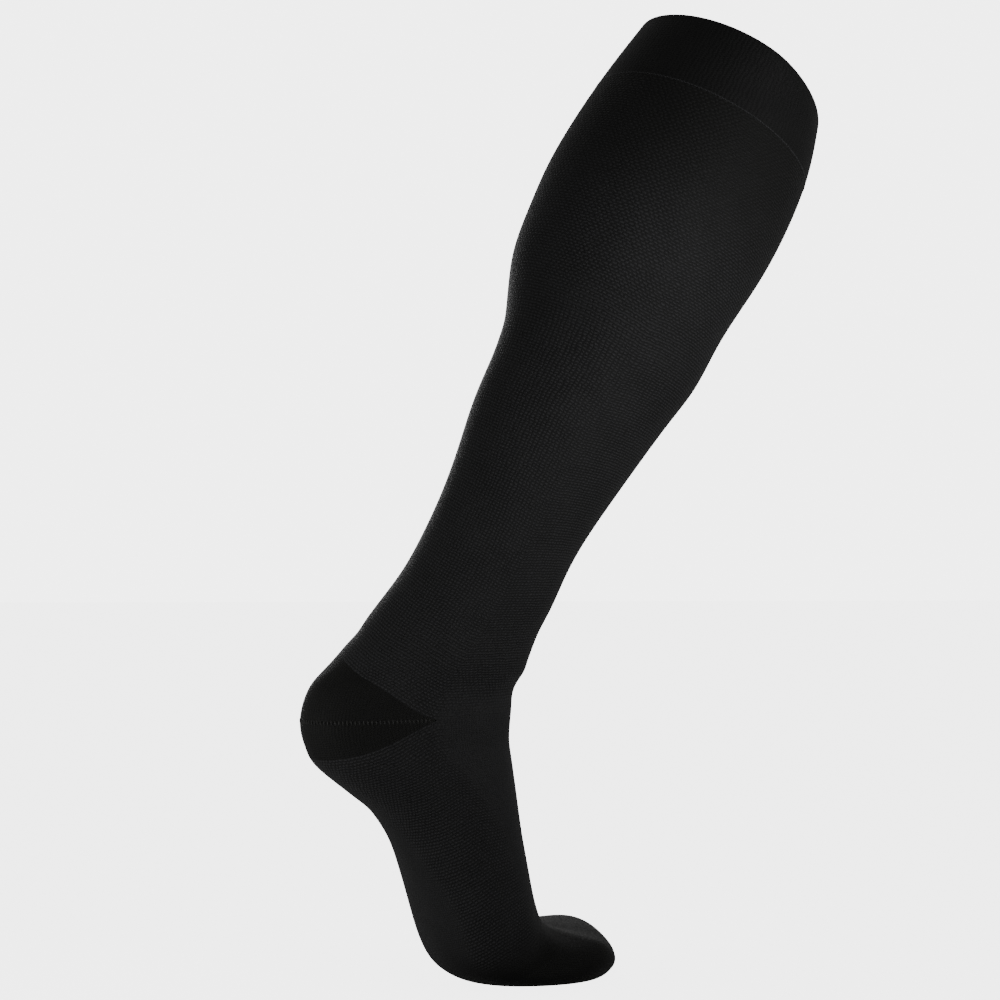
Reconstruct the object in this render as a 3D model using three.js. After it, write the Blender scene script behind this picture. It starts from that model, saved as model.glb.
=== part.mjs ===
// A knee-high compression stocking for a right foot, circular knitted and closed at the toe.
// It is filled out with no wearer, leans forward and stands on its toes.
// Millimetres, +X towards the toes, +Z up, -Y the outer (little-toe) side.
// The origin is the centre of the top opening, where the wearer's leg holds the stocking.
import * as THREE from "three";

// Walls: the band is a doubled welt, the rest is one layer of knit
const BAND_WALL = 2.2;
const KNIT_WALL = 1.4;
// Clear space between neighbouring pieces along a seam
const SEAM_GAP = 0.3;
// How far the heel pocket's points reach round from the front of the ankle, in degrees
const HEEL_APEX_ANGLE = 86;
// The heel pocket's solid stops this much short of its points, in degrees
const HEEL_POINT_STEP = 1.4;
// How far the closed tip bulges past the last ring
const TIP_BULGE = 2.5;
// Mesh divisions: around the front half and the back half, and along each piece
const FRONT_DIVISIONS = 20;
const BACK_DIVISIONS = 20;
const BAND_STEPS = 4;
const LEG_STEPS = 24;
const HEEL_STEPS = 8;
const FOOT_STEPS = 12;
const TOE_STEPS = 9;

// The stocking's rings from the rim to the tip of the toe. Heights are above the floor, and x
// is from the place where the ball of the foot touches it. backX to frontZ are a ring's two
// points in the middle plane, halfWidth is its reach to each side, roundness is 2 for an
// ellipse and more for a squarer ring. innerLead and innerLift are how far the big-toe side
// stands forward of and above the ring's middle, and innerShift moves the ring towards it.
const RINGS = [
  { at: "rim", backX: 110, backZ: 496, frontX: 203, frontZ: 436, halfWidth: 61, roundness: 1.85,
    innerLead: 1 },
  { at: "seam", backX: 85, backZ: 463, frontX: 194, frontZ: 405, halfWidth: 61, roundness: 2 },
  { at: "calfTop", backX: 61, backZ: 426, frontX: 176, frontZ: 368, halfWidth: 62, roundness: 2 },
  { at: "calf", backX: 48, backZ: 399, frontX: 158, frontZ: 341, halfWidth: 60, roundness: 2 },
  { at: "calfLow", backX: 38, backZ: 373, frontX: 144, frontZ: 320, halfWidth: 56, roundness: 2 },
  { at: "shinTop", backX: 34, backZ: 348, frontX: 132, frontZ: 299, halfWidth: 51, roundness: 2 },
  { at: "shin", backX: 28, backZ: 323, frontX: 117, frontZ: 280, halfWidth: 46, roundness: 2 },
  { at: "shinLow", backX: 17, backZ: 298, frontX: 99, frontZ: 257, halfWidth: 42, roundness: 2 },
  { at: "ankleTop", backX: 8, backZ: 273, frontX: 83, frontZ: 236, halfWidth: 39, roundness: 2 },
  { at: "ankle", backX: -3, backZ: 244, frontX: 65, frontZ: 210, halfWidth: 36, roundness: 2 },
  { at: "tendon", backX: -19, backZ: 212, frontX: 53, frontZ: 187, halfWidth: 35, roundness: 2.1 },
  { at: "heelNeck", backX: -35, backZ: 190, frontX: 45, frontZ: 172, halfWidth: 34, roundness: 2.1 },
  { at: "heelTop", backX: -58, backZ: 162, frontX: 39, frontZ: 157, halfWidth: 34, roundness: 2.1 },
  { at: "heelUpper", backX: -71, backZ: 148, frontX: 34, frontZ: 146, halfWidth: 33, roundness: 2.1 },
  { at: "heel", backX: -76, backZ: 131, frontX: 31, frontZ: 133, halfWidth: 33, roundness: 2.2 },
  { at: "heelLower", backX: -73, backZ: 117, frontX: 30, frontZ: 121, halfWidth: 33, roundness: 2.2 },
  { at: "heelSole", backX: -64, backZ: 105, frontX: 31, frontZ: 111, halfWidth: 34, roundness: 2.2 },
  { at: "arch", backX: -38, backZ: 83, frontX: 33, frontZ: 93, halfWidth: 35, roundness: 2.2 },
  { at: "waist", backX: -25, backZ: 59, frontX: 35, frontZ: 75, halfWidth: 37, roundness: 2.2 },
  { at: "forefoot", backX: -18, backZ: 37, frontX: 38, frontZ: 56, halfWidth: 40, roundness: 2.2 },
  { at: "ball", backX: -9, backZ: 13, frontX: 42, frontZ: 38, halfWidth: 42, roundness: 2.3,
    innerLead: 1, innerLift: 1 },
  { at: "toeRoot", backX: 7, backZ: 2, frontX: 51, frontZ: 27, halfWidth: 43, roundness: 2.5,
    innerLead: 3, innerLift: 1 },
  { at: "toe", backX: 34, backZ: 0, frontX: 66, frontZ: 25, halfWidth: 44, roundness: 3,
    innerLead: 6, innerLift: 2, innerShift: -1 },
  { at: "toeFront", backX: 57, backZ: 0, frontX: 78, frontZ: 22, halfWidth: 42, roundness: 3.1,
    innerLead: 7, innerLift: 2, innerShift: -1 },
  { at: "toeCap", backX: 73, backZ: 0, frontX: 86, frontZ: 15, halfWidth: 31, roundness: 2.7,
    innerLead: 6, innerLift: 2, innerShift: 1 },
  { at: "toeTip", backX: 83, backZ: 2, frontX: 88, frontZ: 9, halfWidth: 16, roundness: 2.3,
    innerLead: 3, innerLift: 1, innerShift: 3 },
];

const COLUMNS = [
  "backX", "backZ", "frontX", "frontZ", "halfWidth", "roundness", "innerLead", "innerLift", "innerShift",
];
const LAST_RING = RINGS.length - 1;
const ringNumber = (name) => RINGS.findIndex((ring) => ring.at === name);
const SEAM_RING = ringNumber("seam");
const HEEL_TOP_RING = ringNumber("heelTop");
const HEEL_RING = ringNumber("heel");
const HEEL_SOLE_RING = ringNumber("heelSole");
const TOE_SEAM_RING = ringNumber("toeRoot") + 0.3;

// Second derivatives of the natural cubic spline through one column's values, one per ring
function bends(values) {
  const last = values.length - 1;
  const slope = new Array(last + 1).fill(0);
  const load = new Array(last + 1).fill(0);
  for (let i = 1; i < last; i += 1) {
    const pivot = 4 - slope[i - 1];
    slope[i] = 1 / pivot;
    load[i] = (6 * (values[i + 1] - 2 * values[i] + values[i - 1]) - load[i - 1]) / pivot;
  }
  const second = new Array(last + 1).fill(0);
  for (let i = last - 1; i > 0; i -= 1) {
    second[i] = load[i] - slope[i] * second[i + 1];
  }
  return second;
}

const TABLE = COLUMNS.map((column) => {
  const values = RINGS.map((ring) => ring[column] ?? 0);
  return { column, values, second: bends(values) };
});

// The ring at any place between two rows of the table, on the splines of all columns
function ringAt(place) {
  const row = Math.min(Math.max(Math.floor(place), 0), LAST_RING - 1);
  const after = place - row;
  const before = 1 - after;
  const ring = {};
  for (const { column, values, second } of TABLE) {
    const curve = (before ** 3 - before) * second[row] + (after ** 3 - after) * second[row + 1];
    ring[column] = before * values[row] + after * values[row + 1] + curve / 6;
  }
  return ring;
}

const power = (value, exponent) => Math.sign(value) * Math.abs(value) ** exponent;

// A point of the outer face: place runs along the rings, angle runs round from the front over
// the outer side, in degrees
function outerPoint(place, angle) {
  const ring = ringAt(place);
  const turn = THREE.MathUtils.degToRad(angle);
  const forward = power(Math.cos(turn), 2 / ring.roundness);
  const inner = -power(Math.sin(turn), 2 / ring.roundness);
  const x = (ring.backX + ring.frontX + forward * (ring.frontX - ring.backX)) / 2;
  const z = (ring.backZ + ring.frontZ + forward * (ring.frontZ - ring.backZ)) / 2;
  const lift = ring.innerLift * inner * (1 + forward) / 2;
  const y = inner * ring.halfWidth + ring.innerShift;
  return new THREE.Vector3(x + ring.innerLead * inner, y, z + lift);
}

// The direction along the stocking, and the outward normal, of the outer face
function directions(place, angle) {
  const step = 0.02;
  const start = Math.max(place - step, 0);
  const end = Math.min(place + step, LAST_RING);
  const along = outerPoint(end, angle).sub(outerPoint(start, angle)).normalize();
  const around = outerPoint(place, angle + 1).sub(outerPoint(place, angle - 1)).normalize();
  return { along, outward: around.clone().cross(along).normalize() };
}

// A point of the wall: depth goes inwards from the outer face, shift goes along the stocking
function wallPoint(place, angle, depth, shift = 0) {
  const { along, outward } = directions(place, angle);
  return outerPoint(place, angle).addScaledVector(outward, -depth).addScaledVector(along, shift);
}

// The heel pocket is a wedge that opens from its two points to the back of the heel. Its upper
// border is straight, and its lower one flattens out on its way to the back.
const LOWER_BORDER_SHARE = 0.7;
const HEEL_POINT_COSINE = Math.cos(THREE.MathUtils.degToRad(HEEL_APEX_ANGLE));
function pocketOpening(angle) {
  const cosine = Math.cos(THREE.MathUtils.degToRad(angle));
  return Math.max(0, (HEEL_POINT_COSINE - cosine) / (HEEL_POINT_COSINE + 1));
}
const legBorder = (angle) => HEEL_RING + (HEEL_TOP_RING - HEEL_RING) * pocketOpening(angle);
function footBorder(angle) {
  const reach = (HEEL_SOLE_RING - HEEL_RING) * LOWER_BORDER_SHARE;
  return HEEL_RING + reach * Math.sin(Math.PI / 2 * pocketOpening(angle));
}

// Angles of the mesh's columns, so that one column meets each point of the heel pocket
const frontAngles = Array.from({ length: FRONT_DIVISIONS }, (_, i) =>
  HEEL_APEX_ANGLE * (2 * i / FRONT_DIVISIONS - 1));
const backAngles = Array.from({ length: BACK_DIVISIONS }, (_, i) =>
  HEEL_APEX_ANGLE + (360 - 2 * HEEL_APEX_ANGLE) * i / BACK_DIVISIONS);
const ANGLES = [...frontAngles, ...backAngles];

// The section of a wall in one column, as a closed loop: down the outer face, back up the inner
function wallLoop(angle, from, to, steps, wall) {
  const outer = [];
  const inner = [];
  for (let i = 0; i <= steps; i += 1) {
    const place = from + (to - from) * i / steps;
    const trim = (i === 0 ? SEAM_GAP / 2 : 0) - (i === steps ? SEAM_GAP / 2 : 0);
    outer.push(wallPoint(place, angle, 0, trim));
    inner.push(wallPoint(place, angle, wall, trim));
  }
  return [...outer, ...inner.reverse()];
}

// A closed mesh from columns of points. Faces run between neighbouring columns, and
// wrapAround joins the last column to the first, wrapAlong a column's last point to its first.
function meshOf(name, columns, material, { wrapAround = true, wrapAlong = true, ends = [] } = {}) {
  const height = columns[0].length;
  const points = [...columns.flat(), ...ends];
  const faces = [];
  const columnSteps = wrapAround ? columns.length : columns.length - 1;
  const rowSteps = wrapAlong ? height : height - 1;
  for (let c = 0; c < columnSteps; c += 1) {
    const here = c * height;
    const next = ((c + 1) % columns.length) * height;
    for (let r = 0; r < rowSteps; r += 1) {
      const below = (r + 1) % height;
      faces.push(here + r, next + below, here + below);
      faces.push(here + r, next + r, next + below);
    }
    if (ends.length === 2) {
      faces.push(points.length - 2, next, here);
      faces.push(points.length - 1, here + height - 1, next + height - 1);
    }
  }
  if (!wrapAround) {
    const lastColumn = (columns.length - 1) * height;
    for (let r = 0; r < height / 2 - 1; r += 1) {
      const far = height - 1 - r;
      faces.push(r, r + 1, far);
      faces.push(r + 1, far - 1, far);
      faces.push(lastColumn + r, lastColumn + far, lastColumn + r + 1);
      faces.push(lastColumn + r + 1, lastColumn + far, lastColumn + far - 1);
    }
  }
  const geometry = new THREE.BufferGeometry().setFromPoints(points);
  geometry.setIndex(faces);
  geometry.computeVertexNormals();
  const mesh = new THREE.Mesh(geometry, material);
  mesh.name = name;
  return mesh;
}

const knit = (color, roughness) => new THREE.MeshStandardMaterial({ color, roughness, metalness: 0 });

// Band: a doubled welt whose top edge is a fold, rounded over the wall's thickness
function bandLoop(angle) {
  const wall = wallLoop(angle, 0, SEAM_RING, BAND_STEPS, BAND_WALL);
  const fold = [0.15, 0.5, 0.85].map((share) =>
    wallPoint(0, angle, BAND_WALL * share, -BAND_WALL * Math.sqrt(share * (1 - share))));
  return [...wall, ...fold.reverse()];
}
const band = meshOf("band", ANGLES.map(bandLoop), knit(0x161618, 0.85));

// Leg: one tube from the band down to the heel pocket's upper border
const legLoop = (angle) => wallLoop(angle, SEAM_RING, legBorder(angle), LEG_STEPS, KNIT_WALL);
const leg = meshOf("leg", ANGLES.map(legLoop), knit(0x222225, 0.9));

// Heel: the pocket between the two borders, open at the front
const heelAngles = [
  HEEL_APEX_ANGLE + HEEL_POINT_STEP,
  ...backAngles.slice(1),
  360 - HEEL_APEX_ANGLE - HEEL_POINT_STEP,
];
const heelLoop = (angle) =>
  wallLoop(angle, legBorder(angle), footBorder(angle), HEEL_STEPS, KNIT_WALL);
const heel = meshOf("heel", heelAngles.map(heelLoop), knit(0x141416, 0.85), { wrapAround: false });

// Foot: the tube from the heel pocket's lower border to the toe seam
const footLoop = (angle) => wallLoop(angle, footBorder(angle), TOE_SEAM_RING, FOOT_STEPS, KNIT_WALL);
const foot = meshOf("foot", ANGLES.map(footLoop), knit(0x202022, 0.9));

// Toe: a closed pocket from the toe seam to the tip
function toeLoop(angle) {
  const loop = wallLoop(angle, TOE_SEAM_RING, LAST_RING, TOE_STEPS, KNIT_WALL);
  const outer = loop.slice(0, TOE_STEPS + 1);
  const inner = loop.slice(TOE_STEPS + 1);
  return [...inner, ...outer];
}
const tipRing = ringAt(LAST_RING);
const tipMiddle = new THREE.Vector3(
  (tipRing.backX + tipRing.frontX) / 2, tipRing.innerShift, (tipRing.backZ + tipRing.frontZ) / 2);
const tipDirection = new THREE.Vector3(
  tipRing.frontZ - tipRing.backZ, 0, tipRing.backX - tipRing.frontX).normalize();
const tipOutside = tipMiddle.clone().addScaledVector(tipDirection, TIP_BULGE);
const tipInside = tipMiddle.clone().addScaledVector(tipDirection, TIP_BULGE - KNIT_WALL);
const toe = meshOf("toe", ANGLES.map(toeLoop), knit(0x17171a, 0.85),
  { wrapAlong: false, ends: [tipInside, tipOutside] });

// The whole stocking, moved so that the centre of the top opening is the origin
const stocking = new THREE.Group();
stocking.name = "compression_stocking";
stocking.add(band, leg, heel, foot, toe);
const mouth = ringAt(0);
stocking.position.set(-(mouth.backX + mouth.frontX) / 2, 0, -(mouth.backZ + mouth.frontZ) / 2);

export default stocking;
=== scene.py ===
"""A black knee-high compression stocking, filled out with no wearer and standing on its toes.

It is circular knitted: a doubled welt band, a leg and foot in nubbed micro-mesh, and plain
dense pockets at the heel and the toe. Each piece is a thin shell on its solid's form.
"""
import math
import bpy
import numpy as np
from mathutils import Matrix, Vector


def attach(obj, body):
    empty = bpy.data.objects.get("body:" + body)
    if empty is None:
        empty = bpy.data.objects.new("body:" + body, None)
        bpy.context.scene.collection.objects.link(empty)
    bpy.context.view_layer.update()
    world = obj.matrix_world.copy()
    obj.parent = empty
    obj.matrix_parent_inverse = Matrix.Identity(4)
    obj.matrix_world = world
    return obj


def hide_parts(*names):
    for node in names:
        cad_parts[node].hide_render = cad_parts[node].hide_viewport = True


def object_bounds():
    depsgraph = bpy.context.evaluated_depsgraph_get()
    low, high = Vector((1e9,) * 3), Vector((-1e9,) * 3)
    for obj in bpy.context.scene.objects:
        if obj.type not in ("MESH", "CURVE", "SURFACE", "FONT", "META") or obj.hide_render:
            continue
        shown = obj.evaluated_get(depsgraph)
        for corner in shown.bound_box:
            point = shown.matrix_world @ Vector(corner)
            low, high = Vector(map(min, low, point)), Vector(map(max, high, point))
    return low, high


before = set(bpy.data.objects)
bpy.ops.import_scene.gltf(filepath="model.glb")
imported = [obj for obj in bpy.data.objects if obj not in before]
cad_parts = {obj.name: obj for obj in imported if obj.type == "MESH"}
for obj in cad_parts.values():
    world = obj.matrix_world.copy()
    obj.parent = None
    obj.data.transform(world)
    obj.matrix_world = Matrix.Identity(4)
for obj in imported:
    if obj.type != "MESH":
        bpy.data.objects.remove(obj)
CAD_BOX = [list(corner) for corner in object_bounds()]

# Band
# The welt at the top is knitted double, folded over at the rim and joined to the leg by a
# stitched line. It is a smooth, dense knit of black nylon and elastane that grips the leg.

MM = 0.001

# Rings of the whole stocking, in mm: two points in the middle plane, the reach to each side,
# 2 for an ellipse or more for a squarer ring, and what the big-toe side adds to x, z and y
RING_COLUMNS = ("back_x", "back_z", "front_x", "front_z", "half_width", "roundness",
                "inner_lead", "inner_lift", "inner_shift")
RINGS = {
    "rim": (110, 496, 203, 436, 61, 1.85, 1, 0, 0),
    "seam": (85, 463, 194, 405, 61, 2, 0, 0, 0),
    "calf_top": (61, 426, 176, 368, 62, 2, 0, 0, 0),
    "calf": (48, 399, 158, 341, 60, 2, 0, 0, 0),
    "calf_low": (38, 373, 144, 320, 56, 2, 0, 0, 0),
    "shin_top": (34, 348, 132, 299, 51, 2, 0, 0, 0),
    "shin": (28, 323, 117, 280, 46, 2, 0, 0, 0),
    "shin_low": (17, 298, 99, 257, 42, 2, 0, 0, 0),
    "ankle_top": (8, 273, 83, 236, 39, 2, 0, 0, 0),
    "ankle": (-3, 244, 65, 210, 36, 2, 0, 0, 0),
    "tendon": (-19, 212, 53, 187, 35, 2.1, 0, 0, 0),
    "heel_neck": (-35, 190, 45, 172, 34, 2.1, 0, 0, 0),
    "heel_top": (-58, 162, 39, 157, 34, 2.1, 0, 0, 0),
    "heel_upper": (-71, 148, 34, 146, 33, 2.1, 0, 0, 0),
    "heel": (-76, 131, 31, 133, 33, 2.2, 0, 0, 0),
    "heel_lower": (-73, 117, 30, 121, 33, 2.2, 0, 0, 0),
    "heel_sole": (-64, 105, 31, 111, 34, 2.2, 0, 0, 0),
    "arch": (-38, 83, 33, 93, 35, 2.2, 0, 0, 0),
    "waist": (-25, 59, 35, 75, 37, 2.2, 0, 0, 0),
    "forefoot": (-18, 37, 38, 56, 40, 2.2, 0, 0, 0),
    "ball": (-9, 13, 42, 38, 42, 2.3, 1, 1, 0),
    "toe_root": (7, 2, 51, 27, 43, 2.5, 3, 1, 0),
    "toe": (34, 0, 66, 25, 44, 3, 6, 2, -1),
    "toe_front": (57, 0, 78, 22, 42, 3.1, 7, 2, -1),
    "toe_cap": (73, 0, 86, 15, 31, 2.7, 6, 2, 1),
    "toe_tip": (83, 2, 88, 9, 16, 2.3, 3, 1, 3),
}
RING = {name: number for number, name in enumerate(RINGS)}
RING_TABLE = np.array(list(RINGS.values()), float)
LAST_RING = len(RINGS) - 1
MOUTH = (RING_TABLE[0, 0:2] + RING_TABLE[0, 2:4]) / 2


def spline_bends(table):
    """Second derivatives of the natural cubic splines through the columns of a table.

    They are zero at both ends, and at each row between, the one before plus four times the
    row's own plus the one after is six times the second difference of the values.
    """
    inner = len(table) - 2
    matrix = 4 * np.eye(inner) + np.eye(inner, k=1) + np.eye(inner, k=-1)
    differences = table[2:] - 2 * table[1:-1] + table[:-2]
    return np.pad(np.linalg.solve(matrix, 6 * differences), ((1, 1), (0, 0)))


RING_BENDS = spline_bends(RING_TABLE)


def ring_at(place):
    """The ring table's columns at any place along it, one array for each column.

    Between two rows it is their straight mix plus the spline's cubic bend.
    """
    row = np.clip(np.floor(place), 0, LAST_RING - 1).astype(int)
    after = (place - row)[..., None]
    before = 1 - after
    straight = before * RING_TABLE[row] + after * RING_TABLE[row + 1]
    bend = (before**3 - before) * RING_BENDS[row] + (after**3 - after) * RING_BENDS[row + 1]
    values = np.moveaxis(straight + bend / 6, -1, 0)
    return dict(zip(RING_COLUMNS, values))


def smooth_face(place, angle):
    """Points of the stocking's outer face, in mm, with z above the floor.

    Place runs along the rings, angle in degrees from the front round the outer side. A ring
    is a superellipse: cosine and sine to the power 2 / roundness, scaled to its half sizes.
    """
    place, angle = np.broadcast_arrays(np.asarray(place, float), np.asarray(angle, float))
    ring = ring_at(place)
    turn = np.radians(angle)
    forward = np.sign(np.cos(turn)) * np.abs(np.cos(turn)) ** (2 / ring["roundness"])
    inner = -np.sign(np.sin(turn)) * np.abs(np.sin(turn)) ** (2 / ring["roundness"])
    x = (ring["back_x"] + ring["front_x"] + forward * (ring["front_x"] - ring["back_x"])) / 2
    z = (ring["back_z"] + ring["front_z"] + forward * (ring["front_z"] - ring["back_z"])) / 2
    x = x + ring["inner_lead"] * inner
    y = ring["half_width"] * inner + ring["inner_shift"]
    z = z + ring["inner_lift"] * inner * (1 + forward) / 2
    return np.stack([x, y, z], axis=-1)


def unit(vectors):
    """The vectors divided by their lengths."""
    return vectors / np.linalg.norm(vectors, axis=-1, keepdims=True)


def directions(place, angle):
    """Unit vectors along the stocking and outwards, from differences of the smooth face."""
    step, turn = 0.01, 0.5
    along = unit(smooth_face(place + step, angle) - smooth_face(place - step, angle))
    around = unit(smooth_face(place, angle + turn) - smooth_face(place, angle - turn))
    return along, unit(np.cross(around, along))


# Creases and soft ridges of the whole stocking: from one place and angle to another, with
# the half width and the height in mm (a trough is below zero)
CREASES = (
    # place, angle, place, angle, half width, height
    (21.2, 20, 23.7, 56, 6.0, 0.7),
    (21.0, 4, 22.8, 14, 7.0, -0.5),
    (20.5, -62, 20.5, 62, 4.5, -0.7),
    (20.0, 40, 21.3, 84, 5.0, -0.5),
    (19.9, -44, 21.2, -88, 5.0, -0.6),
    (13.0, -38, 13.3, 38, 6.5, -0.9),
    (12.3, -30, 12.2, 30, 4.0, 0.4),
    (11.6, 150, 11.5, 214, 6.0, -0.7),
    (12.1, 118, 12.7, 160, 4.0, -0.5),
    (12.2, 238, 12.8, 204, 4.0, -0.5),
    (13.6, 66, 12.8, 26, 4.5, -0.4),
    (13.7, 292, 12.9, 330, 4.5, -0.4),
    (16.8, 140, 16.9, 218, 7.0, -0.6),
    (5.2, 128, 5.6, 236, 9.0, -0.5),
    (0.5, 60, 0.7, 112, 7.0, -0.5),
    (0.4, 232, 0.6, 300, 7.0, -0.6),
)
CREASE_SAMPLES = 15


def relief(points):
    """The height that the creases add at points of the smooth face, in mm.

    Each crease is a bell curve of the distance to its line, a straight run in place and angle.
    """
    share = np.linspace(0, 1, CREASE_SAMPLES)
    height = np.zeros(points.shape[:-1])
    for place_a, angle_a, place_b, angle_b, half_width, rise in CREASES:
        line = smooth_face(place_a + (place_b - place_a) * share, angle_a + (angle_b - angle_a) * share)
        nearest = np.full(height.shape, np.inf)
        for start, end in zip(line[:-1], line[1:]):
            step = end - start
            along = np.clip((points - start) @ step / (step @ step), 0, 1)
            away = np.linalg.norm(points - start - along[..., None] * step, axis=-1)
            nearest = np.minimum(nearest, away)
        height += rise * np.exp(-((nearest / half_width) ** 2))
    return height


def wall_points(place, angle, depth, shift=0.0):
    """Points of a wall in the row's frame, in metres.

    They are the smooth face, moved out by the creases' relief, in by depth and along by shift.
    """
    face = smooth_face(place, angle)
    along, outward = directions(place, angle)
    lift = relief(face) - depth
    moved = face + outward * lift[..., None] + along * np.asarray(shift)[..., None]
    return (moved - np.array([MOUTH[0], 0, MOUTH[1]])) * MM


# Knitting counts: wales run down the stocking, courses run round it
WALES = 126
COURSE_HEIGHT = 1.5
COLUMNS = 240


def column_run(place, angle):
    """The length in mm down each column of the smooth face, from its first row."""
    steps = np.linalg.norm(np.diff(smooth_face(place, angle), axis=0), axis=-1)
    return np.pad(np.cumsum(steps, axis=0), ((1, 0), (0, 0)))


def tube_courses(place, angle, first):
    """Course numbers down a tube: every column has the same whole count, evenly spaced."""
    run = column_run(place, angle)
    count = round(float(run[-1].mean()) / COURSE_HEIGHT)
    return first + count * run / run[-1]


FINE_ANGLES = np.linspace(0, 360, 361)


def wale_numbers(place, angle):
    """Wale numbers: the share of the ring's length from its front, times the wales round it."""
    rings = smooth_face(np.arange(LAST_RING + 1.0)[:, None], FINE_ANGLES)
    lengths = np.cumsum(np.linalg.norm(np.diff(rings, axis=1), axis=-1), axis=1)
    shares = np.pad(lengths / lengths[:, -1:], ((0, 0), (1, 0)))
    by_ring = np.stack([np.interp(angle[0], FINE_ANGLES, share) for share in shares])
    row = np.clip(np.floor(place), 0, LAST_RING - 1).astype(int)
    after = np.clip(place - row, 0, 1)
    column = np.arange(angle.shape[1])
    return WALES * ((1 - after) * by_ring[row, column] + after * by_ring[row + 1, column])


def grid_faces(rows, columns, close_rows, close_columns):
    """Corner indices of a grid's quads, for the vertices and for a UV grid one larger each way."""
    r, c = np.meshgrid(
        np.arange(rows if close_rows else rows - 1),
        np.arange(columns if close_columns else columns - 1), indexing="ij")
    corner_rows = np.stack([r, r, r + 1, r + 1], axis=-1).reshape(-1, 4)
    corner_columns = np.stack([c, c + 1, c + 1, c], axis=-1).reshape(-1, 4)
    corners = (corner_rows % rows) * columns + corner_columns % columns
    return corners, corner_rows * (columns + 1) + corner_columns


def knitted_piece(name, points, stitches, close_rows=True, close_columns=True, poles=()):
    """A mesh object from a grid of points, rows along the wall's section and columns round it.

    stitches holds the wale and course numbers of a grid one larger each way, for the UV map.
    """
    rows, columns = points.shape[:2]
    corners, uv_corners = grid_faces(rows, columns, close_rows, close_columns)
    faces = corners.tolist()
    uv = stitches.reshape(-1, 2)[uv_corners].reshape(-1, 2)
    extra = [uv]
    if len(poles):
        first, last = rows * columns, rows * columns + 1
        here = np.arange(columns)
        after = (here + 1) % columns
        top = np.stack([np.full(columns, first), after, here], axis=-1)
        bottom_row = (rows - 1) * columns
        bottom = np.stack([np.full(columns, last), bottom_row + here, bottom_row + after], axis=-1)
        faces += top.tolist() + bottom.tolist()
        flat_uv = stitches[:, :-1].reshape(-1, 2)
        for ring_uv, order in ((flat_uv[here], (1, 0)), (flat_uv[bottom_row + here], (0, 1))):
            pair = np.stack([ring_uv, np.roll(ring_uv, -1, axis=0)], axis=1)[:, list(order)]
            extra.append(np.concatenate([ring_uv[:, None], pair], axis=1).reshape(-1, 2))
    if not close_columns:
        loop = np.arange(rows) * columns
        faces += [loop.tolist(), (loop + columns - 1)[::-1].tolist()]
        extra += [stitches[:rows, 0], stitches[:rows, columns - 1][::-1]]
    vertices = np.concatenate([points.reshape(-1, 3), np.reshape(poles, (-1, 3))])
    mesh = bpy.data.meshes.new(name)
    mesh.from_pydata(vertices.tolist(), [], faces)
    layer = mesh.uv_layers.new(name="stitches")
    layer.data.foreach_set("uv", np.concatenate(extra).ravel())
    mesh.polygons.foreach_set("use_smooth", np.ones(len(faces), bool))
    mesh.set_sharp_from_angle(angle=math.radians(50))
    piece = bpy.data.objects.new(name, mesh)
    bpy.context.scene.collection.objects.link(piece)
    return piece


def face_grid(place_from, place_to, angle, steps):
    """The places and angles of a piece's outer face: each row mixes the two ends' places."""
    share = np.linspace(0, 1, steps + 1)[:, None]
    return np.broadcast_arrays(place_from + (place_to - place_from) * share, angle)


def wall_section(place, angle, courses, wall):
    """A closed wall: rows down the outer face and back up the inner one, with stitch numbers."""
    points = np.concatenate([wall_points(place, angle, 0.0), wall_points(place, angle, wall)[::-1]])
    numbers = np.stack([wale_numbers(place, angle), courses], axis=-1)
    return points, np.concatenate([numbers, numbers[::-1]])


def with_closing_edges(stitches):
    """The stitch grid with its first row and column added at the end, the wales counted on."""
    grown = np.concatenate([stitches, stitches[:1]])
    last = grown[:, :1].copy()
    last[..., 0] += WALES
    return np.concatenate([grown, last], axis=1)


def linear(hex_colour):
    """An sRGB hex colour as linear RGBA: below 0.04045 divided by 12.92, above it a 2.4 power."""
    channels = np.array([int(hex_colour[i:i + 2], 16) for i in (1, 3, 5)]) / 255
    low, high = channels / 12.92, ((channels + 0.055) / 1.055) ** 2.4
    return (*np.where(channels <= 0.04045, low, high), 1.0)


def add_node(tree, kind, inputs=(), **settings):
    """Adds a node with its settings. Its inputs, in order or by name, are values or links.

    A link is a socket, or a node whose first output is meant.
    """
    node = tree.nodes.new(kind)
    for name, value in settings.items():
        setattr(node, name, value)
    for socket, value in inputs.items() if isinstance(inputs, dict) else enumerate(inputs):
        source = value.outputs[0] if isinstance(value, bpy.types.Node) else value
        if isinstance(source, bpy.types.NodeSocket):
            tree.links.new(source, node.inputs[socket])
        else:
            node.inputs[socket].default_value = source
    return node


def stitch_wave(tree, number, power):
    """A wave that is 0 at whole numbers and 1 between them, to a power that sets its width."""
    angle = add_node(tree, "ShaderNodeMath", (number, 2 * math.pi), operation="MULTIPLY")
    cosine = add_node(tree, "ShaderNodeMath", (angle,), operation="COSINE")
    wave = add_node(tree, "ShaderNodeMath", (cosine, -0.5, 0.5), operation="MULTIPLY_ADD")
    return add_node(tree, "ShaderNodeMath", (wave, power), operation="POWER")


# How round the stitches are, across the wales and along the courses: a lower power is flatter
ACROSS_POWER = 0.6
NUB_ALONG_POWER = 0.8
PLAIN_ALONG_POWER = 0.5


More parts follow.
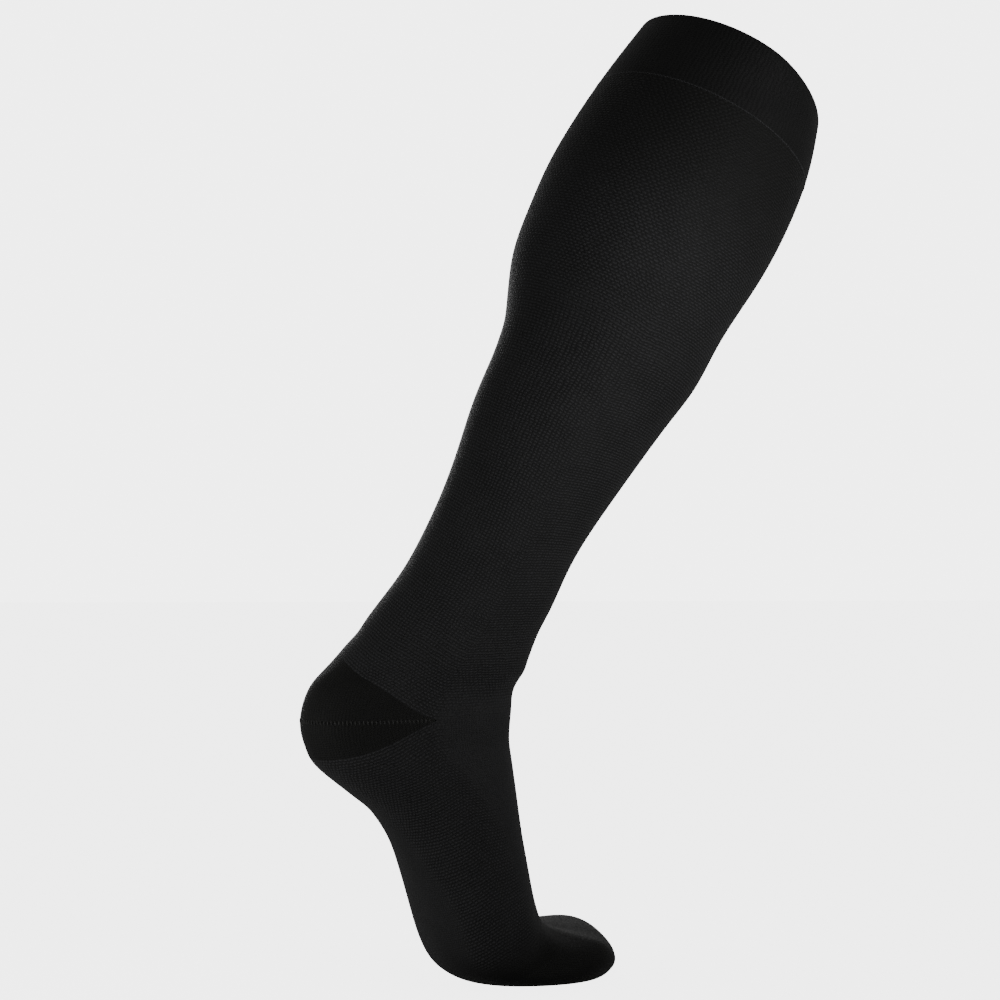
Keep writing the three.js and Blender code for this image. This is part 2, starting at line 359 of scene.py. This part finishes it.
def nub_height(tree, wale, course, staggered):
    """Rows of nubs that are wider than they are high; staggered rows shift by half a nub."""
    if staggered:
        row = add_node(tree, "ShaderNodeMath", (course,), operation="FLOOR")
        odd = add_node(tree, "ShaderNodeMath", (row, 2.0), operation="MODULO")
        wale = add_node(tree, "ShaderNodeMath", (odd, 0.5, wale), operation="MULTIPLY_ADD")
    across = stitch_wave(tree, wale, ACROSS_POWER)
    along = stitch_wave(tree, course, NUB_ALONG_POWER)
    return add_node(tree, "ShaderNodeMath", (across, along), operation="MULTIPLY")


LOOP_LEAN = 0.16
WALE_WEIGHT = 0.65
COURSE_WEIGHT = 0.35


def jersey_height(tree, wale, course):
    """Plain knit: fine wales whose two legs lean in and out along each course."""
    turn = add_node(tree, "ShaderNodeMath", (course, 2 * math.pi), operation="MULTIPLY")
    lean = add_node(tree, "ShaderNodeMath", (turn,), operation="SINE")
    leaned = add_node(tree, "ShaderNodeMath", (lean, LOOP_LEAN, wale), operation="MULTIPLY_ADD")
    across = stitch_wave(tree, leaned, ACROSS_POWER)
    along = stitch_wave(tree, course, PLAIN_ALONG_POWER)
    lower = add_node(tree, "ShaderNodeMath", (across, WALE_WEIGHT), operation="MULTIPLY")
    return add_node(tree, "ShaderNodeMath", (along, COURSE_WEIGHT, lower), operation="MULTIPLY_ADD")


WANDER_SCALE = 260.0
WANDER = (1.1, 0.8, 0.0)
PLAIN_LEVEL = 0.5
PATCH_SCALE, PATCH_DEPTH = 60.0, 0.4
FIBRE_SCALE, FIBRE_DEPTH = 900.0, 0.6
SHADE_DROP = 0.2
DENSE_KNIT = "#0e0e0d"
KNIT_GLOSS = 0.12
KNIT_SHEEN_SPREAD = 0.3


def knit_material(name, gap, yarn, nubbed=False, fine=1.5, sheen=0.1, roughness=0.7, depth=0.3):
    """Knitted nylon and elastane: height from the stitch numbers drives bump and colour.

    gap and yarn are the colours in the holes and on the stitches, mixed by the stitches' height:
    the near-black holes and the darker low stitches are painted shade. Nubbed knit mixes plain
    knit, straight nubs and staggered ones by the attributes nubbed and stagger, and darkens by dense.
    fine is how many plain stitches go to one nub, drawn coarser than real ones so that they
    show. depth is the relief in mm.
    """
    material = bpy.data.materials.new(name)
    material.use_nodes = True
    tree = material.node_tree
    tree.nodes.clear()
    position = add_node(tree, "ShaderNodeTexCoord").outputs["Object"]
    uv = add_node(tree, "ShaderNodeUVMap", uv_map="stitches")
    # No two stitches pull alike: they wander by a fifth of a stitch
    wander = add_node(tree, "ShaderNodeTexNoise", {
        "Vector": position, "Scale": WANDER_SCALE, "Detail": 1.0})
    centred = add_node(tree, "ShaderNodeVectorMath", (wander.outputs["Color"], (0.5, 0.5, 0.5)),
                       operation="SUBTRACT")
    moved = add_node(tree, "ShaderNodeVectorMath", (centred, WANDER, uv), operation="MULTIPLY_ADD")
    split = add_node(tree, "ShaderNodeSeparateXYZ", (moved,))
    wale, course = split.outputs[0], split.outputs[1]
    fine_wale = add_node(tree, "ShaderNodeMath", (wale, fine), operation="MULTIPLY")
    fine_course = add_node(tree, "ShaderNodeMath", (course, fine), operation="MULTIPLY")
    height = jersey_height(tree, fine_wale, fine_course)
    if nubbed:
        share = add_node(tree, "ShaderNodeAttribute", attribute_name="nubbed").outputs["Fac"]
        stagger = add_node(tree, "ShaderNodeAttribute", attribute_name="stagger").outputs["Fac"]
        straight = nub_height(tree, wale, course, False)
        brick = nub_height(tree, wale, course, True)
        nubs = add_node(tree, "ShaderNodeMix", {0: stagger, 2: straight, 3: brick})
        # Plain stitches lie lower than the nubs, so they get more painted shade and are less bright
        plain = add_node(tree, "ShaderNodeMath", (height, PLAIN_LEVEL), operation="MULTIPLY")
        height = add_node(tree, "ShaderNodeMix", {0: share, 2: plain, 3: nubs})
    # Yarn is never even: broad, faint patches over the stitches' painted light and shade
    patches = add_node(tree, "ShaderNodeTexNoise", {
        "Vector": position, "Scale": PATCH_SCALE, "Detail": 3.0})
    fibres = add_node(tree, "ShaderNodeTexNoise", {
        "Vector": position, "Scale": FIBRE_SCALE, "Detail": 2.0})
    shade = add_node(tree, "ShaderNodeMath", (patches, PATCH_DEPTH, -SHADE_DROP),
                     operation="MULTIPLY_ADD")
    shade = add_node(tree, "ShaderNodeMath", (fibres, FIBRE_DEPTH, shade), operation="MULTIPLY_ADD")
    shade = add_node(tree, "ShaderNodeMath", (shade, SHADE_DROP), operation="SUBTRACT")
    tone = add_node(tree, "ShaderNodeMath", (height, shade), operation="ADD", use_clamp=True)
    # Painted shade: the lower the stitch, the nearer its colour to the dark gap colour
    colour = add_node(tree, "ShaderNodeMix", {0: tone, 6: linear(gap), 7: linear(yarn)},
                      data_type="RGBA")
    if nubbed:
        # Beside the band and the toe the knit is closer, and nearly as dark as theirs
        dense = add_node(tree, "ShaderNodeAttribute", attribute_name="dense").outputs["Fac"]
        colour = add_node(tree, "ShaderNodeMix", {
            0: dense, 6: colour.outputs[2], 7: linear(DENSE_KNIT)}, data_type="RGBA")
    bump = add_node(tree, "ShaderNodeBump", {"Height": height, "Distance": depth * MM, "Strength": 1.0})
    shader = add_node(tree, "ShaderNodeBsdfPrincipled", {
        "Base Color": colour.outputs[2], "Normal": bump, "Roughness": roughness,
        "Specular IOR Level": KNIT_GLOSS, "Sheen Weight": sheen,
        "Sheen Roughness": KNIT_SHEEN_SPREAD})
    add_node(tree, "ShaderNodeOutputMaterial", (shader,))
    return material


BAND_WALL = 1.8
BAND_ROWS = 34
FOLD_SHARES = np.array([0.06, 0.25, 0.5, 0.75, 0.94])
angles = np.arange(COLUMNS) * 360 / COLUMNS

band_grid = face_grid(0.0, float(RING["seam"]), angles, BAND_ROWS)
band_points, band_stitches = wall_section(*band_grid, tube_courses(*band_grid, 0), BAND_WALL)
fold_place = np.zeros((len(FOLD_SHARES), COLUMNS))
fold_angle = np.broadcast_to(angles, fold_place.shape)
fold_depth = BAND_WALL * FOLD_SHARES[::-1, None] * np.ones(COLUMNS)
fold_rise = -BAND_WALL * np.sqrt(FOLD_SHARES * (1 - FOLD_SHARES))[::-1, None] * np.ones(COLUMNS)
fold_points = wall_points(fold_place, fold_angle, fold_depth, fold_rise)
fold_stitches = np.stack([wale_numbers(fold_place, fold_angle), fold_rise / COURSE_HEIGHT], axis=-1)
band = knitted_piece(
    "welt_band", np.concatenate([band_points, fold_points]),
    with_closing_edges(np.concatenate([band_stitches, fold_stitches])))

# Fine welt knit of black nylon: matt and close, so the stitches barely part
welt_knit = knit_material("fine_welt_knit", "#070707", "#151515", fine=1.3, sheen=0.03, depth=0.2)
band.data.materials.append(welt_knit)
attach(band, "root")
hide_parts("band")

# Leg
# The tube from the band to the heel, knitted round and round in nylon and elastane with laid-in
# rubber yarn. Tuck stitches give rows of small nubs with open spots between them.

KNIT_WALL = 1.1
HEEL_APEX_ANGLE = 86.0
LOWER_BORDER_SHARE = 0.7
LEG_ROWS = 150


def pocket_opening(angle):
    """How far the heel pocket is open at an angle: 0 at its side points, 1 at the back.

    It grows with how far the ring has gone back past the points.
    """
    point = math.cos(math.radians(HEEL_APEX_ANGLE))
    return np.clip((point - np.cos(np.radians(angle))) / (point + 1), 0, None)


def leg_border(angle):
    """Place of the heel pocket's upper border at an angle, a straight line seen from the side."""
    return RING["heel"] + (RING["heel_top"] - RING["heel"]) * pocket_opening(angle)


def foot_border(angle):
    """Place of the heel pocket's lower border: a quarter of a sine wave that flattens backwards."""
    reach = (RING["heel_sole"] - RING["heel"]) * LOWER_BORDER_SHARE
    return RING["heel"] + reach * np.sin(math.pi / 2 * pocket_opening(angle))


def smooth_step(value):
    """0 below 0, 1 above 1, and a soft S between."""
    held = np.clip(value, 0, 1)
    return held * held * (3 - 2 * held)


def share_attribute(piece, name, shares):
    """Stores one number a vertex, given for the outer face, on both faces of the wall."""
    attribute = piece.data.attributes.new(name, "FLOAT", "POINT")
    both = np.concatenate([shares, shares[::-1]])
    attribute.data.foreach_set("value", both.astype(np.float32).ravel())


# Where the knit changes: the place where each change starts, and over how many rings it runs
CALF_NUBS_END, CALF_NUBS_FADE = 4.0, 2.0
NECK_NUBS_START, NECK_NUBS_FADE = float(RING["heel_neck"]), 1.5
BAND_SHADE, BAND_SHADE_FADE = 0.75, 2.5
INSTEP_START, INSTEP_FADE = RING["heel_top"] + 0.7, 1.5
INSTEP_NARROWING, INSTEP_NARROWS_OVER = 27.0, 6.0
INSTEP_INSET, INSTEP_BLEND = 8.0, 14.0
INSTEP_PLAIN = 0.9


def stagger_share(place):
    """Where the nubs look staggered: the calf, and again from the heel's neck down."""
    calf = 1 - smooth_step((place - CALF_NUBS_END) / CALF_NUBS_FADE)
    foot = smooth_step((place - NECK_NUBS_START) / NECK_NUBS_FADE)
    return np.clip(calf + foot, 0, 1)


def plain_instep(place, angle):
    """Share of plain knit at the instep: a wedge from the heel's points that narrows forwards."""
    from_front = np.abs((angle + 180) % 360 - 180)
    narrowed = INSTEP_NARROWING * smooth_step((place - RING["heel"]) / INSTEP_NARROWS_OVER)
    edge = HEEL_APEX_ANGLE - narrowed - INSTEP_INSET
    begun = smooth_step((place - INSTEP_START) / INSTEP_FADE)
    return INSTEP_PLAIN * begun * (1 - smooth_step((from_front - edge) / INSTEP_BLEND))


leg_grid = face_grid(float(RING["seam"]), leg_border(angles), angles, LEG_ROWS)
leg_courses = tube_courses(*leg_grid, 0)
leg_points, leg_stitches = wall_section(*leg_grid, leg_courses, KNIT_WALL)
leg = knitted_piece("leg_tube", leg_points, with_closing_edges(leg_stitches))
share_attribute(leg, "nubbed", 1 - plain_instep(*leg_grid))
share_attribute(leg, "stagger", stagger_share(leg_grid[0]))
band_shade = 1 - smooth_step((leg_grid[0] - RING["seam"]) / BAND_SHADE_FADE)
share_attribute(leg, "dense", BAND_SHADE * band_shade)

# Nubbed micro-mesh: dark grey little nubs over near-black gaps of painted shade, with a faint sheen
nubbed_knit = knit_material(
    "nubbed_micro_mesh", "#131313", "#2a2a2b", nubbed=True, sheen=0.04, depth=0.35)
leg.data.materials.append(nubbed_knit)
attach(leg, "root")
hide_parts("leg")

# Heel
# The pocket is knitted to and fro in plain, dense knit, first narrower, then wider, so it has a
# point at each side and a row of eyelet stitches along its middle where the two halves meet.

HEEL_ROWS = 44
HEEL_COLUMNS = 120
HEEL_POINT_STEP = 0.5
heel_start = HEEL_APEX_ANGLE + HEEL_POINT_STEP
heel_angles = np.linspace(heel_start, 360 - heel_start, HEEL_COLUMNS)
heel_grid = face_grid(leg_border(heel_angles), foot_border(heel_angles), heel_angles, HEEL_ROWS)
# The courses of each half run beside its own border, and meet in the row of eyelets
heel_run = column_run(*heel_grid)
heel_run = np.where(heel_grid[0] > RING["heel"], heel_run[-1] - heel_run, heel_run)
heel_courses = heel_run / COURSE_HEIGHT
heel_points, heel_stitches = wall_section(*heel_grid, heel_courses, KNIT_WALL)
heel = knitted_piece("heel_pocket", heel_points, with_closing_edges(heel_stitches), close_columns=False)

# Plain pocket knit: denser and darker than the leg, nearly matt
pocket_knit = knit_material("plain_pocket_knit", "#080807", "#141413", fine=1.3, sheen=0.03, depth=0.2)
heel.data.materials.append(pocket_knit)
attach(heel, "root")
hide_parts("heel")

# Foot
# The tube goes on from the heel to the toe. Its sides are nubbed like the leg, and it is plain
# and smooth along the sole and the instep, where a shoe rubs.

FOOT_ROWS = 90
TOE_SEAM = RING["toe_root"] + 0.3
SOLE_EDGE, SOLE_WIDENING, SOLE_WIDENS_OVER, SOLE_BLEND = 160.0, 42.0, 3.5, 16.0
TOE_PLAIN_START, TOE_PLAIN_FADE = RING["ball"] + 0.1, 0.9
TOE_SHADE_START, TOE_SHADE_FADE = RING["forefoot"] + 0.5, 1.8
foot_grid = face_grid(foot_border(angles), TOE_SEAM, angles, FOOT_ROWS)
foot_courses = tube_courses(*foot_grid, leg_courses[-1, 0])
foot_points, foot_stitches = wall_section(*foot_grid, foot_courses, KNIT_WALL)
foot = knitted_piece("foot_tube", foot_points, with_closing_edges(foot_stitches))


def foot_nubs(place, angle):
    """Share of nubbed knit on the foot: full on the sides, none at the sole and the toe."""
    from_front = np.abs((angle + 180) % 360 - 180)
    widened = SOLE_WIDENING * smooth_step((place - RING["heel_sole"]) / SOLE_WIDENS_OVER)
    sole = 1 - smooth_step((from_front - SOLE_EDGE + widened) / SOLE_BLEND)
    toe = 1 - smooth_step((place - TOE_PLAIN_START) / TOE_PLAIN_FADE)
    return (1 - plain_instep(place, angle)) * sole * toe


share_attribute(foot, "nubbed", foot_nubs(*foot_grid))
share_attribute(foot, "stagger", stagger_share(foot_grid[0]))
share_attribute(foot, "dense", smooth_step((foot_grid[0] - TOE_SHADE_START) / TOE_SHADE_FADE))
foot.data.materials.append(nubbed_knit)
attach(foot, "root")
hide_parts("foot")

# Toe
# The toe pocket is knitted like the heel and linked shut. It is plain and smooth, longer and
# higher on the big-toe side, with a soft ridge on its outer side.

TOE_ROWS = 60
TIP_BULGE = 2.5
toe_grid = face_grid(TOE_SEAM, float(LAST_RING), angles, TOE_ROWS)
toe_courses = tube_courses(*toe_grid, foot_courses[-1, 0])
toe_points, toe_stitches = wall_section(*toe_grid, toe_courses, KNIT_WALL)
half = TOE_ROWS + 1
toe_points = np.concatenate([toe_points[half:], toe_points[:half]])
toe_stitches = np.concatenate([toe_stitches[half:], toe_stitches[:half]])
tip = dict(zip(RING_COLUMNS, RING_TABLE[LAST_RING]))
tip_middle = np.array([
    (tip["back_x"] + tip["front_x"]) / 2 - MOUTH[0], tip["inner_shift"],
    (tip["back_z"] + tip["front_z"]) / 2 - MOUTH[1]])
tip_direction = unit(np.array([tip["front_z"] - tip["back_z"], 0, tip["back_x"] - tip["front_x"]]))
tip_poles = [(tip_middle + tip_direction * (TIP_BULGE - depth)) * MM for depth in (KNIT_WALL, 0)]
toe = knitted_piece(
    "toe_pocket", toe_points, with_closing_edges(toe_stitches), close_rows=False, poles=tip_poles)
toe.data.materials.append(pocket_knit)
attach(toe, "root")
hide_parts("toe")

# Band stitching
# A chain of slanted stitches joins the doubled welt to the leg all the way round. The yarn is
# the same black, but it stands proud, so it shows as a thin lighter line.

BEAD_SIDES = 6
BEAD_RINGS = 5


def bead_rows(name, centres, alongs, outwards, length, width, slant):
    """Small stitches as one mesh: each an ellipsoid on its centre, turned in the cloth's plane.

    A point is the centre plus sine and cosine steps along the stitch, across it and outwards.
    """
    polar = np.linspace(0, math.pi, BEAD_RINGS + 2)[1:-1]
    round_angle = np.arange(BEAD_SIDES) * 2 * math.pi / BEAD_SIDES
    across = np.cross(alongs, outwards)
    stitch = alongs * math.cos(slant) + across * math.sin(slant)
    side = across * math.cos(slant) - alongs * math.sin(slant)
    local = np.stack([
        np.repeat(np.cos(polar), BEAD_SIDES) * length / 2,
        (np.sin(polar)[:, None] * np.cos(round_angle)).ravel() * width / 2,
        (np.sin(polar)[:, None] * np.sin(round_angle)).ravel() * width / 2], axis=-1)
    local = np.concatenate([local, [[length / 2, 0, 0], [-length / 2, 0, 0]]]) * MM
    axes = np.stack([stitch, side, outwards], axis=1)
    vertices = centres[:, None, :] + np.einsum("vk,nkx->nvx", local, axes)
    corners, _ = grid_faces(BEAD_RINGS, BEAD_SIDES, False, True)
    here = np.arange(BEAD_SIDES)
    after = (here + 1) % BEAD_SIDES
    low = (BEAD_RINGS - 1) * BEAD_SIDES
    poles = BEAD_RINGS * BEAD_SIDES
    caps = np.concatenate([
        np.stack([np.full(BEAD_SIDES, poles), after, here], axis=-1),
        np.stack([np.full(BEAD_SIDES, poles + 1), low + here, low + after], axis=-1)])
    offsets = np.arange(len(centres)) * (poles + 2)
    quads = (corners[None] + offsets[:, None, None]).reshape(-1, 4)
    triangles = (caps[None] + offsets[:, None, None]).reshape(-1, 3)
    mesh = bpy.data.meshes.new(name)
    mesh.from_pydata(vertices.reshape(-1, 3).tolist(), [], quads.tolist() + triangles.tolist())
    mesh.polygons.foreach_set("use_smooth", np.ones(len(mesh.polygons), bool))
    piece = bpy.data.objects.new(name, mesh)
    bpy.context.scene.collection.objects.link(piece)
    return piece


TWIST_SCALE = 2200.0
TWIST_RELIEF = 0.1


def yarn_material(name, dark, light, sheen):
    """A raised knitting yarn: faint light and dark along its twist, and a soft sheen."""
    material = bpy.data.materials.new(name)
    material.use_nodes = True
    tree = material.node_tree
    tree.nodes.clear()
    position = add_node(tree, "ShaderNodeTexCoord").outputs["Object"]
    twist = add_node(tree, "ShaderNodeTexNoise", {
        "Vector": position, "Scale": TWIST_SCALE, "Detail": 2.0})
    colour = add_node(tree, "ShaderNodeMix", {0: twist, 6: linear(dark), 7: linear(light)},
                      data_type="RGBA")
    bump = add_node(tree, "ShaderNodeBump", {
        "Height": twist, "Distance": TWIST_RELIEF * MM, "Strength": 0.6})
    shader = add_node(tree, "ShaderNodeBsdfPrincipled", {
        "Base Color": colour.outputs[2], "Normal": bump, "Roughness": 0.65,
        "Specular IOR Level": 0.25, "Sheen Weight": sheen, "Sheen Roughness": 0.25})
    add_node(tree, "ShaderNodeOutputMaterial", (shader,))
    return material


LINE_SAMPLES = 721


def along_ring(place, angle_from, angle_to, pitch, sunk):
    """Evenly spaced points at one place, sunk into the wall: centres, round it and outwards."""
    fine = np.linspace(angle_from, angle_to, LINE_SAMPLES)
    line = smooth_face(np.full(fine.shape, place), fine)
    run = np.concatenate([[0], np.cumsum(np.linalg.norm(np.diff(line, axis=0), axis=-1))])
    count = int(run[-1] // pitch)
    angle = np.interp((np.arange(count) + 0.5) * run[-1] / count, run, fine)
    places = np.full(angle.shape, place)
    _, outward = directions(places, angle)
    around = unit(smooth_face(places, angle + 0.5) - smooth_face(places, angle - 0.5))
    return wall_points(places, angle, sunk), around, outward


STITCH_PITCH, STITCH_LENGTH, STITCH_WIDTH, STITCH_SUNK = 1.9, 2.3, 0.65, 0.1
STITCH_SLANT = math.radians(14)
ring_centres, ring_around, ring_outward = along_ring(
    float(RING["seam"]), 0, 360, STITCH_PITCH, STITCH_SUNK)
band_stitching = bead_rows(
    "band_stitching", ring_centres, ring_around, ring_outward, STITCH_LENGTH, STITCH_WIDTH,
    STITCH_SLANT)
seam_yarn = yarn_material("seam_yarn", "#1a1a1b", "#2e2e30", 0.12)
band_stitching.data.materials.append(seam_yarn)
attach(band_stitching, "root")

# Heel eyelets
# Where the pocket's two halves meet, the turning stitches stand up as small soft bars, in one
# row from side point to side point round the back of the heel.

EYELET_PITCH, EYELET_LENGTH, EYELET_WIDTH, EYELET_SUNK = 2.0, 2.6, 1.0, 0.2
EYELET_SLANT = math.radians(82)
EYELET_MARGIN = 2.0
eyelet_start = HEEL_APEX_ANGLE + EYELET_MARGIN
heel_centres, heel_around, heel_outward = along_ring(
    float(RING["heel"]), eyelet_start, 360 - eyelet_start, EYELET_PITCH, EYELET_SUNK)
heel_eyelets = bead_rows(
    "heel_eyelets", heel_centres, heel_around, heel_outward, EYELET_LENGTH, EYELET_WIDTH,
    EYELET_SLANT)
eyelet_yarn = yarn_material("eyelet_yarn", "#131312", "#222220", 0.08)
heel_eyelets.data.materials.append(eyelet_yarn)
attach(heel_eyelets, "root")

# Floor and light
# A plain pale studio floor runs into a backdrop lit to near white. The stocking itself is lit by
# soft lamps in front on the right, low on the left and behind, and faintly by the backdrop.

FLOOR_REACH = 30.0
FLOOR_GLOW = 4.2
lowest = float(CAD_BOX[0][2])
floor_mesh = bpy.data.meshes.new("floor")
floor_mesh.from_pydata(
    [(x * FLOOR_REACH, y * FLOOR_REACH, lowest) for x, y in ((-1, -1), (1, -1), (1, 1), (-1, 1))],
    [], [(0, 1, 2, 3)])
floor = bpy.data.objects.new("floor", floor_mesh)
bpy.context.scene.collection.objects.link(floor)
floor_paint = bpy.data.materials.new("matt_pale_floor")
floor_paint.use_nodes = True
floor_tree = floor_paint.node_tree
floor_tree.nodes.clear()
# The floor looks as bright as the backdrop, but throws little of that light on the stocking
floor_seen = add_node(floor_tree, "ShaderNodeLightPath").outputs["Is Camera Ray"]
floor_glow = add_node(floor_tree, "ShaderNodeMath", (floor_seen, FLOOR_GLOW), operation="MULTIPLY")
floor_shader = add_node(floor_tree, "ShaderNodeBsdfPrincipled", {
    "Base Color": linear("#c8c8c8"), "Roughness": 0.9, "Specular IOR Level": 0.0,
    "Emission Color": linear("#ffffff"), "Emission Strength": floor_glow})
add_node(floor_tree, "ShaderNodeOutputMaterial", (floor_shader,))
floor.data.materials.append(floor_paint)

# The light that reaches the cloth: an even part, then a soft lobe round each direction
AMBIENT_LIGHT = 0.2
BACKDROP_GLOW = 4.7
LIGHT_LOBES = (
    # direction, strength
    ((0.50, 0.80, 0.20), 0.3),
    ((-0.93, 0.20, -0.30), 0.2),
)
world = bpy.data.worlds.new("studio")
world.use_nodes = True
sky = world.node_tree
sky.nodes.clear()
direction = add_node(sky, "ShaderNodeTexCoord").outputs["Generated"]
light = AMBIENT_LIGHT
for aim, lobe_strength in LIGHT_LOBES:
    facing = add_node(sky, "ShaderNodeVectorMath", (direction, aim), operation="DOT_PRODUCT")
    lit = add_node(sky, "ShaderNodeMath", (facing.outputs["Value"], 0.0), operation="MAXIMUM")
    light = add_node(sky, "ShaderNodeMath", (lit, lobe_strength, light), operation="MULTIPLY_ADD")
sky_seen = add_node(sky, "ShaderNodeLightPath").outputs["Is Camera Ray"]
brightness = add_node(sky, "ShaderNodeMix", {0: sky_seen, 2: light, 3: BACKDROP_GLOW})
background = add_node(sky, "ShaderNodeBackground", {"Color": linear("#ffffff"), "Strength": brightness})
add_node(sky, "ShaderNodeOutputWorld", (background,))
bpy.context.scene.world = world

# Soft lamps: a main one in front on the right, aimed at the shin, a small one low behind the
# heel for its edge and the sole's, and a weak one that takes the far side out of full black
LAMPS = (
    # name, place, target, size, spread in degrees, power
    ("main_lamp", (0.13, -0.52, -0.14), (-0.07, 0.0, -0.13), 0.35, 85, 0.75),
    ("heel_lamp", (-0.60, -0.05, -0.40), (-0.20, 0.0, -0.38), 0.25, 120, 0.55),
    ("far_lamp", (-0.08, 0.60, -0.14), (-0.10, 0.0, -0.14), 0.4, 60, 0.35),
)
for lamp_name, place, target, size, spread, power in LAMPS:
    lamp = bpy.data.objects.new(lamp_name, bpy.data.lights.new(lamp_name, "AREA"))
    bpy.context.scene.collection.objects.link(lamp)
    lamp.data.size = size
    lamp.data.spread = math.radians(spread)
    lamp.data.energy = power
    lamp.location = place
    lamp.rotation_euler = (Vector(target) - Vector(place)).to_track_quat("-Z", "Y").to_euler()
    lamp.visible_camera = False

# Camera
# It looks up slightly from near the floor, 20 degrees round to the heel's side.

CAMERA_AZIMUTH = math.radians(-20.0)
CAMERA_SPOT = (-309.0, -923.0, 195.0)
IMAGE_SIZE = 1000
FOCAL_PIXELS = 1933.0
HORIZON_ROW = 590.0
SENSOR = 36.0
camera = bpy.data.objects.new("camera", bpy.data.cameras.new("camera"))
bpy.context.scene.collection.objects.link(camera)
tilt = math.atan2(HORIZON_ROW - IMAGE_SIZE / 2, FOCAL_PIXELS)
camera.location = [MM * (spot - zero) for spot, zero in zip(CAMERA_SPOT, (MOUTH[0], 0, MOUTH[1]))]
camera.rotation_euler = (math.pi / 2 + tilt, 0.0, CAMERA_AZIMUTH)
camera.data.sensor_width = SENSOR
camera.data.lens = FOCAL_PIXELS / IMAGE_SIZE * SENSOR
bpy.context.scene.camera = camera
